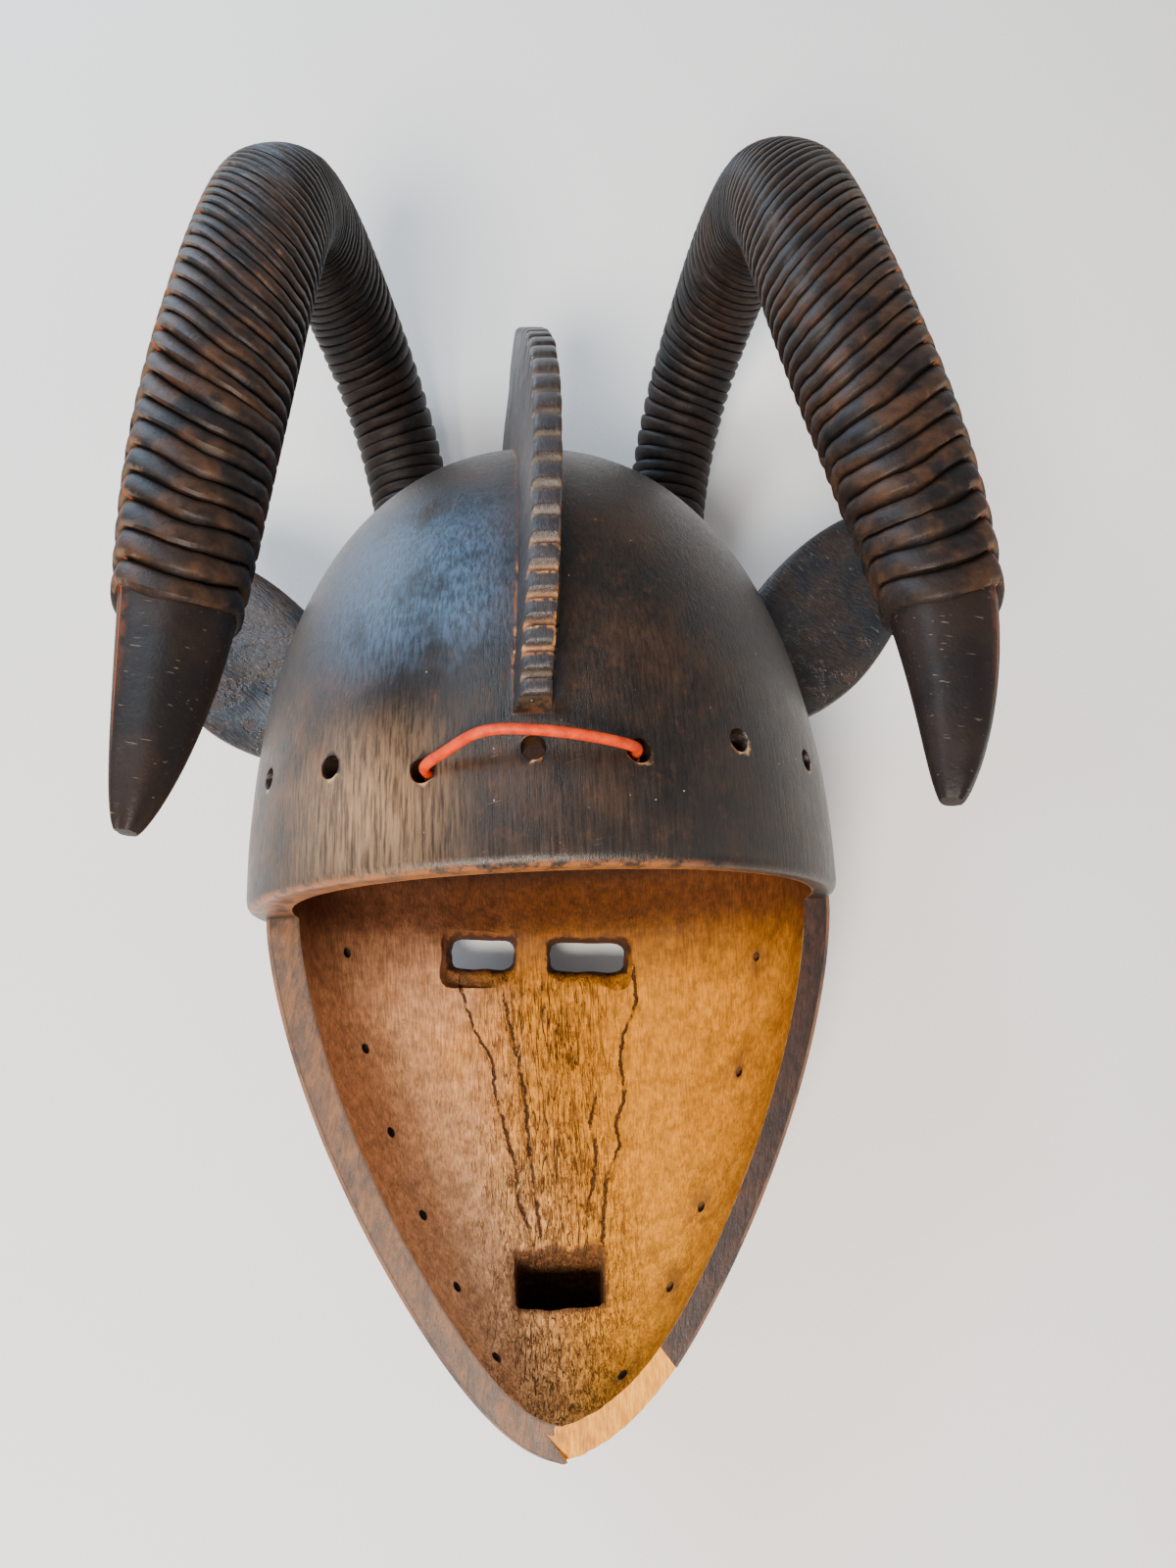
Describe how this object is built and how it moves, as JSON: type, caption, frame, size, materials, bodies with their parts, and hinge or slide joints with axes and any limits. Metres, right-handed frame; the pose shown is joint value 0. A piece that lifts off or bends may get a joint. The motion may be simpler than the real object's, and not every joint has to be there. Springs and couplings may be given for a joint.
{
  "type": "antelope mask",
  "caption": "Hollow carved wooden helmet mask: domed cap, long half-shell face with eye slits and a box mouth, toothed crest, ringed arching horns, leaf ears and a hanging cord.",
  "frame": {"origin": "middle of the mask's box on the plane that it rests on, face down on its lips and the fronts of the horns", "axes": "+Y up the mask from the chin to the horns, +Z from the front of the face to the wearer's side, +X to the right as the wearer's side is seen"},
  "size_m": [0.3346, 0.5298, 0.2813],
  "materials": {
    "carved_wood": "dark worn patina outside, raw ochre wood inside",
    "dyed_cord": "satin orange-red round cord"
  },
  "bodies": {
    "root": {"mask": "carved_wood", "hanging_cord": "dyed_cord", "knot_left": "dyed_cord", "knot_right": "dyed_cord"}
  },
  "joints": []
}
